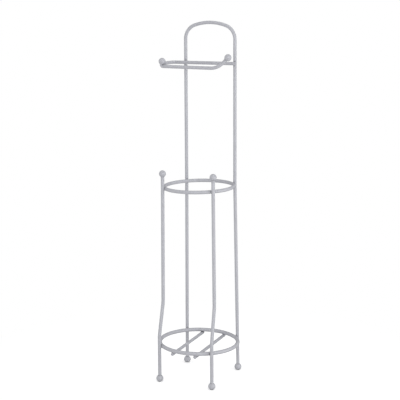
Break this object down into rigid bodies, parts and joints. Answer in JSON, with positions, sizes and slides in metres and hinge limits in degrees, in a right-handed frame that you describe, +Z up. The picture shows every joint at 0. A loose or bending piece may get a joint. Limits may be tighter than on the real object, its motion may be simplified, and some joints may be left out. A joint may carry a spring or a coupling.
{
  "type": "toilet roll storage holder",
  "caption": "Free-standing toilet roll stand in bent round wire: an arched back frame, a roll arm with ball ends and an open cage below for spare rolls.",
  "frame": {"origin": "on the floor under the middle of the lower ring", "axes": "+Z up, -Y towards the front, where the roll arm is, and +X to the right seen from the front"},
  "size_m": [0.1602, 0.1576, 0.683],
  "materials": {
    "wire_coat": "satin powder coat, pale lavender grey",
    "ball_coat": "satin powder coat, pale lavender grey",
    "weld_coat": "powder coat over weld beads"
  },
  "bodies": {
    "root": {"back_frame": "wire_coat", "front_left_leg": "wire_coat", "front_right_leg": "wire_coat", "upper_ring": "wire_coat", "lower_ring": "wire_coat", "left_floor_rod": "wire_coat", "right_floor_rod": "wire_coat", "roll_bracket": "wire_coat", "roll_arm": "wire_coat", "front_left_foot": "ball_coat", "front_right_foot": "ball_coat", "back_left_foot": "ball_coat", "back_right_foot": "ball_coat", "left_finial": "ball_coat", "right_finial": "ball_coat", "arm_inner_ball": "ball_coat", "arm_tip_ball": "ball_coat", "upper_ring_welds": "weld_coat", "lower_ring_welds": "weld_coat", "floor_rod_welds": "weld_coat", "roll_bracket_welds": "weld_coat", "roll_arm_weld": "weld_coat", "ring_seam_welds": "weld_coat"}
  },
  "joints": []
}
